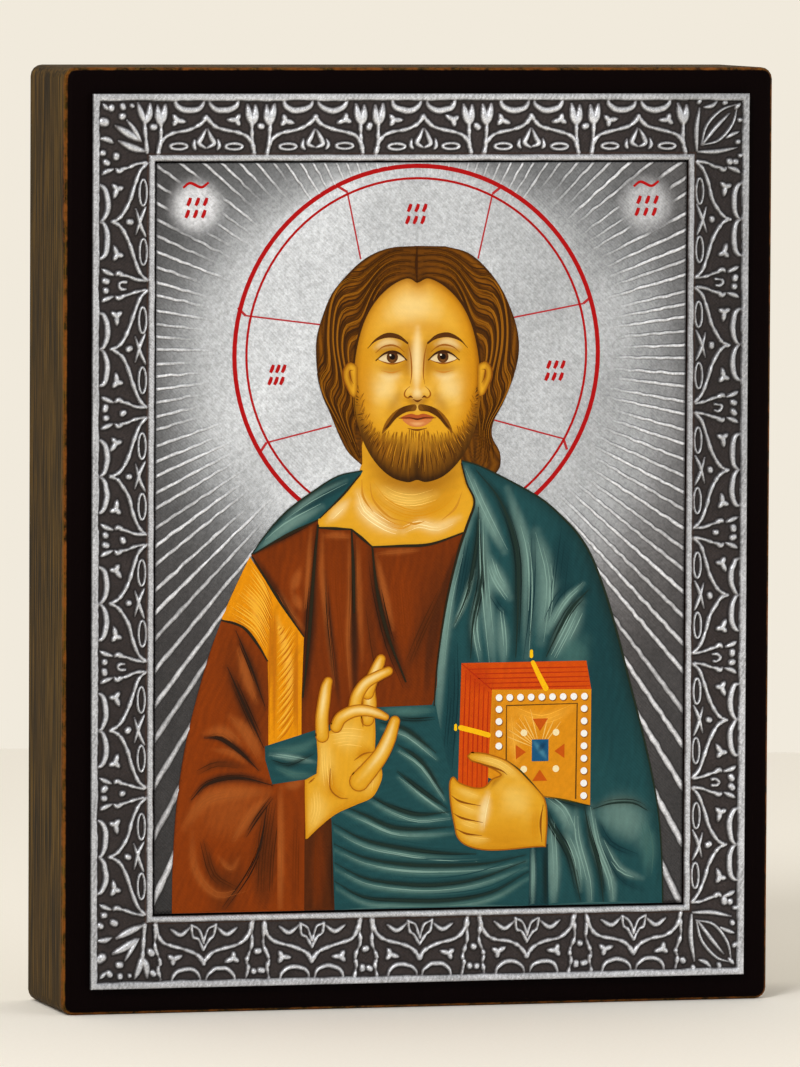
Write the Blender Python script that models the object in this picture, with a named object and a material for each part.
"""A standing icon panel: a wooden board with a chased silver border and a rayed picture panel in front.

Metres, +Z up. The front faces -Y, and the origin is at the middle of the underside.
"""
import math

import bmesh
import bpy

# Wooden board
BOARD_WIDTH = 0.140
BOARD_HEIGHT = 0.180
BOARD_DEPTH = 0.030
OUTLINE_RADIUS = 0.0022  # rounding of the four corners seen from the front
ARRIS_RADIUS = 0.0013  # rounding round the front and the back
CORNER_SEGMENTS = 4
ARRIS_SEGMENTS = 3

# Place of the silver border on the board's front
MARGIN_SIDE = 0.0052
MARGIN_TOP = 0.0050
MARGIN_BOTTOM = 0.0050

# Border: widths of its band, from the outer edge to the picture, and of the raised rim and bead
BAND_SIDE = 0.0121
BAND_TOP = 0.0128
BAND_BOTTOM = 0.0138
RIM_WIDTH = 0.0013
BEAD_WIDTH = 0.0013
EDGE_ROUNDING = 0.00025  # softened edges of rim and bead

# Thicknesses and heights, counted from back to front
FIT_GAP = 0.0003  # clearance between neighbouring pieces
SHEET_THICKNESS = 0.0005  # border metal under its sunk floor
RELIEF_HEIGHT = 0.0008  # rim and bead above the floor
PANEL_THICKNESS = 0.0005
RIDGE_ROOT = 0.0002  # how deep a ridge is rooted in the metal behind it
WELD_DISTANCE = 0.000001

# Chased ornament: its ridges are triangular in section
CELLS_ACROSS = 5
CELLS_UP = 6
RIDGE_WIDTH = 0.0008
RIDGE_CREST = 0.0006
LEAF_WIDTH = 0.0012
CORNER_LEAF_WIDTH = 0.0017
DART_WIDTH = 0.0010
BERRY_RADIUS = 0.0006
BERRY_HEIGHT = 0.0004
BERRY_SIDES = 6
TIP_SHARE = 0.05  # width left at the tip of a tapered ridge, which ends below the floor

# Rays pressed in the picture panel
RAY_WIDTH = 0.0006
RAY_CREST = 0.0002
RAY_STEP = math.radians(2.8)
RAY_SHORTEST = 0.0030
RAY_SEARCH_STEP = 0.0005  # how finely a ray looks for the figure's outline
RAY_FADE_SHARE = 0.28  # width left where a ray sinks into the panel
RAY_EDGE_GAP = 0.0005  # from a ray's outer end to the panel's edge
HALO_RADIUS = 0.0364
HALO_DROP = 0.0370  # from the picture's upper edge down to the halo's centre
RAY_FADE_GAP = 0.0030  # from the halo's ring to a ray's inner end

# Motifs of one ornament cell, as shares: across from its middle (0) to its end (1), and out from the
# bead (0) to the rim (1). A stroke that starts below 0 or ends above 1 grows out of the bead or into the rim.
ARCH_HALF = ((0.86, -0.04), (0.73, 0.27), (0.22, 0.43), (0.0, 0.67))
ARCH_STEPS = 2
STEM = ((0.91, -0.04), (0.85, 0.54), (0.73, 1.04))
TWIG = ((0.86, 0.56), (0.92, 0.78), (0.93, 0.95))
SCALLOP_MIDDLE = 0.31
SCALLOP_REACH = 0.25
SCALLOP_START = 1.03
SCALLOP_SAG = 0.27
SCALLOP_STEPS = 3
DART = ((0.60, 0.54), (0.52, 0.63), (0.42, 0.73))
ALMOND = ((0.32, 0.17), (0.50, 0.18), (0.68, 0.17))
PALMETTE_DROP = ((0.0, 0.12), (0.0, 0.27), (0.0, 0.48))
PALMETTE_LEAF = ((0.05, 0.12), (0.15, 0.22), (0.14, 0.36))
GAP_BERRY = (1.0, 0.48)

# Corner sprays: angle from the diagonal in degrees, then start, middle and end as shares of the diagonal
CORNER_LEAVES = ((4, 0.17, 0.40, 0.64), (26, 0.22, 0.44, 0.68), (-20, 0.22, 0.44, 0.68),
                 (-3, 0.76, 0.84, 0.92))
CORNER_BERRIES = ((11, 0.74), (-11, 0.74), (22, 0.82), (-22, 0.82))

# Outline of the painted half figure, which the rays stop at: shares across and up the picture
FIGURE_LEFT = ((0.000, 0.045), (0.130, 0.047), (0.223, 0.062), (0.338, 0.103), (0.417, 0.143), (0.500, 0.209),
               (0.545, 0.276), (0.583, 0.386))
FIGURE_RIGHT = ((0.000, 0.955), (0.152, 0.946), (0.262, 0.906), (0.389, 0.862), (0.489, 0.804),
                (0.540, 0.731), (0.576, 0.641), (0.593, 0.575))

# Planes across the depth. The whole part, border included, is centred on the origin.
BORDER_BUILD_UP = FIT_GAP + SHEET_THICKNESS + RELIEF_HEIGHT
BACK_Y = (BOARD_DEPTH + BORDER_BUILD_UP) / 2
BOARD_FRONT_Y = BACK_Y - BOARD_DEPTH
SHEET_BACK_Y = BOARD_FRONT_Y - FIT_GAP
BORDER_FLOOR_Y = SHEET_BACK_Y - SHEET_THICKNESS
BORDER_FRONT_Y = BORDER_FLOOR_Y - RELIEF_HEIGHT
PANEL_FRONT_Y = SHEET_BACK_Y - PANEL_THICKNESS


def grown(rectangle, by):
    """The rectangle (left, right, low, high) with each side moved outward."""
    left, right, low, high = rectangle
    return left - by, right + by, low - by, high + by


SHEET = (MARGIN_SIDE - BOARD_WIDTH / 2, BOARD_WIDTH / 2 - MARGIN_SIDE,
         MARGIN_BOTTOM, BOARD_HEIGHT - MARGIN_TOP)
OPENING = (SHEET[0] + BAND_SIDE, SHEET[1] - BAND_SIDE, SHEET[2] + BAND_BOTTOM, SHEET[3] - BAND_TOP)
BEAD_OUTER = grown(OPENING, BEAD_WIDTH)
BEAD_LINE = grown(OPENING, BEAD_WIDTH / 2)
RIM_INNER = grown(SHEET, -RIM_WIDTH)
PANEL = grown(OPENING, -FIT_GAP)


def new_collection(name):
    collection = bpy.data.collections.new(name)
    bpy.context.scene.collection.children.link(collection)
    return collection


def new_material(name, colour, roughness, metallic):
    material = bpy.data.materials.new(name)
    material.use_nodes = True
    shader = material.node_tree.nodes["Principled BSDF"]
    shader.inputs["Base Color"].default_value = (*colour, 1.0)
    shader.inputs["Roughness"].default_value = roughness
    shader.inputs["Metallic"].default_value = metallic
    return material


def new_object(name, mesh, collection, material=None):
    item = bpy.data.objects.new(name, mesh)
    collection.objects.link(item)
    if material:
        mesh.materials.append(material)
    return item


def as_cutter(item):
    """Marks an object that only shapes another one."""
    item.hide_render = True
    item.display_type = "WIRE"
    return item


def block(rectangle, front_y, back_y):
    """A bmesh box over a front rectangle, between two planes."""
    left, right, low, high = rectangle
    form = bmesh.new()
    bmesh.ops.create_cube(form, size=1.0)
    bmesh.ops.scale(form, vec=(right - left, back_y - front_y, high - low), verts=form.verts)
    middle = ((left + right) / 2, (front_y + back_y) / 2, (low + high) / 2)
    bmesh.ops.translate(form, vec=middle, verts=form.verts)
    return form


def finished(form, name):
    """The mesh made from a bmesh."""
    mesh = bpy.data.meshes.new(name)
    form.to_mesh(mesh)
    form.free()
    return mesh


def add_boolean(target, operand, operation):
    modifier = target.modifiers.new(operand.name, "BOOLEAN")
    modifier.operation = operation
    modifier.solver = "EXACT"
    modifier.object = operand
    return modifier


def settle(item):
    """Turns an object's modifiers into its own mesh."""
    bpy.context.view_layer.update()
    shaped = item.evaluated_get(bpy.context.evaluated_depsgraph_get())
    item.data = bpy.data.meshes.new_from_object(shaped)
    item.modifiers.clear()


def round_edges(form, edges, radius, segments):
    bmesh.ops.bevel(form, geom=edges, offset=radius, segments=segments, profile=0.5, affect="EDGES",
                    clamp_overlap=True)


def between(t, p, q, r, s):
    """A Catmull-Rom value a share t of the way from q to r, with p and s as their neighbours."""
    return q + 0.5 * t * (r - p + t * (2 * p - 5 * q + 4 * r - s + t * (3 * q - p - 3 * r + s)))


def smooth_through(points, steps):
    """Points of a Catmull-Rom curve through the given points, with a number of steps in each stretch."""
    ends = [points[0], *points, points[-1]]
    curve = []
    for a, b, c, d in zip(ends, ends[1:], ends[2:], ends[3:]):
        for step in range(steps):
            curve.append(tuple(between(step / steps, *along) for along in zip(a, b, c, d)))
    curve.append(points[-1])
    return curve


def tapered(points, full_width):
    """A stroke that is widest in its middle and runs out at both tips."""
    last = len(points) - 1
    widths = [full_width * max(TIP_SHARE, math.sin(math.pi * index / last)) for index in range(last + 1)]
    return points, widths


def even(points, full_width):
    return points, [full_width] * len(points)


def ridges(name, strokes, floor_y, crest, full_width, collection):
    """All strokes, each its points and their widths, as one mesh of triangular ridges on a floor plane."""
    curve = bpy.data.curves.new(name, "CURVE")
    curve.dimensions = "3D"
    curve.twist_mode = "Z_UP"
    curve.bevel_depth = full_width / 2
    curve.bevel_resolution = 0
    curve.use_fill_caps = True
    for points, widths in strokes:
        spline = curve.splines.new("POLY")
        spline.points.add(len(points) - 1)
        for point, (x, z), width in zip(spline.points, points, widths):
            point.co = (x, z, 0.0, 1.0)
            point.radius = width / full_width
    guide = bpy.data.objects.new(name + "_guide", curve)
    collection.objects.link(guide)
    bpy.context.view_layer.update()
    swept = bpy.data.meshes.new_from_object(guide.evaluated_get(bpy.context.evaluated_depsgraph_get()))
    bpy.data.objects.remove(guide)

    form = bmesh.new()
    form.from_mesh(swept)
    bmesh.ops.remove_doubles(form, verts=form.verts, dist=WELD_DISTANCE)
    rise = (crest + RIDGE_ROOT / 2) / (full_width / 2)
    for vertex in form.verts:
        height = min(max(vertex.co.z * rise, -RIDGE_ROOT), RELIEF_HEIGHT)
        vertex.co = (vertex.co.x, floor_y + RIDGE_ROOT / 2 - height, vertex.co.y)
    bmesh.ops.recalc_face_normals(form, faces=form.faces)
    form.to_mesh(swept)
    form.free()
    return as_cutter(new_object(name, swept, collection))


def berries(name, places, floor_y, collection):
    """Small flat-topped six-sided studs for the berries of the ornament."""
    form = bmesh.new()
    for x, z in places:
        cone = bmesh.ops.create_cone(form, cap_ends=True, segments=BERRY_SIDES, radius1=BERRY_RADIUS,
                                     radius2=BERRY_RADIUS / 3, depth=BERRY_HEIGHT + RIDGE_ROOT)
        for vertex in cone["verts"]:
            depth = floor_y - vertex.co.z - (BERRY_HEIGHT - RIDGE_ROOT) / 2
            vertex.co = (vertex.co.x + x, depth, vertex.co.y + z)
    bmesh.ops.recalc_face_normals(form, faces=form.faces)
    return as_cutter(new_object(name, finished(form, name), collection))


def ornament_cells():
    """Each cell: its middle's foot on the bead, its unit vectors along and out, half its length, its reach
    to the rim, and whether it is the last of its side."""
    left, right, low, high = BEAD_LINE
    across = (right - left) / CELLS_ACROSS
    up = (high - low) / CELLS_UP
    cells = []
    for index in range(CELLS_ACROSS):
        x = left + across * (index + 0.5)
        last = index == CELLS_ACROSS - 1
        cells.append(((x, BEAD_OUTER[3]), (1, 0), (0, 1), across / 2, RIM_INNER[3] - BEAD_OUTER[3], last))
        cells.append(((x, BEAD_OUTER[2]), (1, 0), (0, -1), across / 2, BEAD_OUTER[2] - RIM_INNER[2], last))
    for index in range(CELLS_UP):
        z = low + up * (index + 0.5)
        last = index == CELLS_UP - 1
        cells.append(((BEAD_OUTER[0], z), (0, 1), (-1, 0), up / 2, BEAD_OUTER[0] - RIM_INNER[0], last))
        cells.append(((BEAD_OUTER[1], z), (0, 1), (1, 0), up / 2, RIM_INNER[1] - BEAD_OUTER[1], last))
    return cells


def placed(cell, share_along, share_out):
    foot, along, out, half_length, reach, _ = cell
    run = share_along * half_length
    rise = share_out * reach
    return foot[0] + along[0] * run + out[0] * rise, foot[1] + along[1] * run + out[1] * rise


def cell_strokes(cell):
    """Arch, stems, scallops, darts, almonds and palmette of one cell."""
    def both_halves(points):
        return [[placed(cell, side * along, out) for along, out in points] for side in (1, -1)]

    right_half, left_half = both_halves(smooth_through(ARCH_HALF, ARCH_STEPS))
    strokes = [even(right_half + left_half[-2::-1], RIDGE_WIDTH)]
    angles = [math.pi * step / SCALLOP_STEPS for step in range(SCALLOP_STEPS + 1)]
    scallop = [(SCALLOP_MIDDLE + SCALLOP_REACH * math.cos(angle),
                SCALLOP_START - SCALLOP_SAG * math.sin(angle)) for angle in angles]
    for points in both_halves(scallop):
        strokes.append(even(points, RIDGE_WIDTH))
    for points in both_halves(STEM):
        strokes.append(even(points, RIDGE_WIDTH))
    for points in both_halves(TWIG):
        strokes.append(tapered(points, DART_WIDTH))
    for points in both_halves(DART):
        strokes.append(tapered(points, DART_WIDTH))
    for points in both_halves(ALMOND):
        strokes.append(tapered(points, LEAF_WIDTH))
    for points in both_halves(PALMETTE_LEAF):
        strokes.append(tapered(points, DART_WIDTH))
    strokes.append(tapered([placed(cell, *share) for share in PALMETTE_DROP], LEAF_WIDTH))
    return strokes


def corner_point(corner, angle, share):
    """A point of a corner spray, turned by an angle from the diagonal and a share of the diagonal away."""
    side_x, side_z = corner
    start_x = BEAD_OUTER[side_x]
    start_z = BEAD_OUTER[2 + side_z]
    across = RIM_INNER[side_x] - start_x
    up = RIM_INNER[2 + side_z] - start_z
    turn = math.radians(45 + angle)
    reach = math.sqrt(2) * share
    return start_x + across * reach * math.cos(turn), start_z + up * reach * math.sin(turn)


def corner_strokes(corner):
    strokes = []
    for angle, *shares in CORNER_LEAVES:
        strokes.append(tapered([corner_point(corner, angle, share) for share in shares], CORNER_LEAF_WIDTH))
    return strokes


def add_board(collection):
    form = block((-BOARD_WIDTH / 2, BOARD_WIDTH / 2, 0.0, BOARD_HEIGHT), BOARD_FRONT_Y, BACK_Y)
    corners = [edge for edge in form.edges if abs(edge.verts[0].co.y - edge.verts[1].co.y) > BOARD_DEPTH / 2]
    round_edges(form, corners, OUTLINE_RADIUS, CORNER_SEGMENTS)
    arrises = [edge for edge in form.edges if abs(edge.verts[0].co.y - edge.verts[1].co.y) < BOARD_DEPTH / 2]
    round_edges(form, arrises, ARRIS_RADIUS, ARRIS_SEGMENTS)
    board = new_object("wood_board", finished(form, "wood_board"), collection,
                       new_material("dark_wood", (0.10, 0.06, 0.025), 0.6, 0.0))
    board.data.shade_smooth()
    board.data.set_sharp_from_angle(angle=math.radians(40))


def add_border(collection, cutters):
    sheet = finished(block(SHEET, BORDER_FRONT_Y, SHEET_BACK_Y), "silver_border")
    border = new_object("silver_border", sheet, collection,
                        new_material("chased_silver", (0.55, 0.54, 0.54), 0.35, 1.0))
    clear = BORDER_BUILD_UP  # how far a cutter runs past the face that it opens
    window = as_cutter(new_object(
        "window", finished(block(OPENING, BORDER_FRONT_Y - clear, SHEET_BACK_Y + clear), "window"), cutters))
    trough = as_cutter(new_object(
        "trough", finished(block(RIM_INNER, BORDER_FRONT_Y - clear, BORDER_FLOOR_Y), "trough"), cutters))
    island = as_cutter(new_object(
        "island", finished(block(BEAD_OUTER, BORDER_FRONT_Y - 2 * clear, SHEET_BACK_Y), "island"), cutters))
    add_boolean(trough, island, "DIFFERENCE")
    add_boolean(border, window, "DIFFERENCE")
    add_boolean(border, trough, "DIFFERENCE")
    settle(border)
    form = bmesh.new()
    form.from_mesh(border.data)
    front_edges = [edge for edge in form.edges if edge.calc_face_angle() > math.radians(45)
                   and all(abs(vertex.co.y - BORDER_FRONT_Y) < RELIEF_HEIGHT / 2 for vertex in edge.verts)]
    round_edges(form, front_edges, EDGE_ROUNDING, 2)
    form.to_mesh(border.data)
    form.free()

    cells = ornament_cells()
    strokes = [stroke for cell in cells for stroke in cell_strokes(cell)]
    studs = [placed(cell, *GAP_BERRY) for cell in cells if not cell[-1]]
    for corner in ((0, 0), (0, 1), (1, 0), (1, 1)):
        strokes += corner_strokes(corner)
        studs += [corner_point(corner, *berry) for berry in CORNER_BERRIES]
    ornament = ridges("ornament", strokes, BORDER_FLOOR_Y, RIDGE_CREST, RIDGE_WIDTH, cutters)
    add_boolean(border, ornament, "UNION").use_self = True
    add_boolean(border, berries("ornament_berries", studs, BORDER_FLOOR_Y, cutters), "UNION")


def edge_share(outline, height):
    """How far across the picture the figure's outline is at a height. Both are shares."""
    for (low, at_low), (high, at_high) in zip(outline, outline[1:]):
        if low <= height <= high:
            return at_low + (at_high - at_low) * (height - low) / (high - low)
    return None


def on_figure(x, z):
    left, right, low, high = OPENING
    height = (z - low) / (high - low)
    share = (x - left) / (right - left)
    edge_left = edge_share(FIGURE_LEFT, height)
    edge_right = edge_share(FIGURE_RIGHT, height)
    if edge_left is None or edge_right is None:
        return False
    return edge_left <= share <= edge_right


def ray_strokes():
    """Rays from near the panel's edge in towards the halo, or to the figure where that is nearer."""
    left, right, low, high = grown(PANEL, -RAY_EDGE_GAP)
    centre_x = (left + right) / 2
    centre_z = OPENING[3] - HALO_DROP
    count = round(2 * math.pi / RAY_STEP)
    strokes = []
    for index in range(count):
        angle = 2 * math.pi * (index + 0.5) / count
        way_x = math.cos(angle)
        way_z = math.sin(angle)
        to_side = ((right if way_x > 0 else left) - centre_x) / way_x
        to_end = ((high if way_z > 0 else low) - centre_z) / way_z
        outer = min(to_side, to_end)
        inner = HALO_RADIUS + RAY_FADE_GAP
        walk = outer
        while walk > inner and not on_figure(centre_x + way_x * walk, centre_z + way_z * walk):
            walk -= RAY_SEARCH_STEP
        inner = max(inner, walk + RAY_WIDTH)
        if outer - inner < RAY_SHORTEST:
            continue
        stations = ((outer, TIP_SHARE), (outer - RAY_SHORTEST / 2, 1.0), (inner, RAY_FADE_SHARE))
        points = [(centre_x + way_x * reach, centre_z + way_z * reach) for reach, _ in stations]
        strokes.append((points, [RAY_WIDTH * share for _, share in stations]))
    return strokes


def add_panel(collection, cutters):
    panel = new_object("picture_panel", finished(block(PANEL, PANEL_FRONT_Y, SHEET_BACK_Y), "picture_panel"),
                       collection, new_material("silvered_panel", (0.50, 0.50, 0.50), 0.45, 0.6))
    rays = ridges("rays", ray_strokes(), PANEL_FRONT_Y, RAY_CREST, RAY_WIDTH, cutters)
    add_boolean(panel, rays, "UNION").use_self = True


def main():
    for item in list(bpy.data.objects):
        bpy.data.objects.remove(item)
    collection = new_collection("icon_panel")
    cutters = new_collection("cutters")
    add_board(collection)
    add_border(collection, cutters)
    add_panel(collection, cutters)


main()
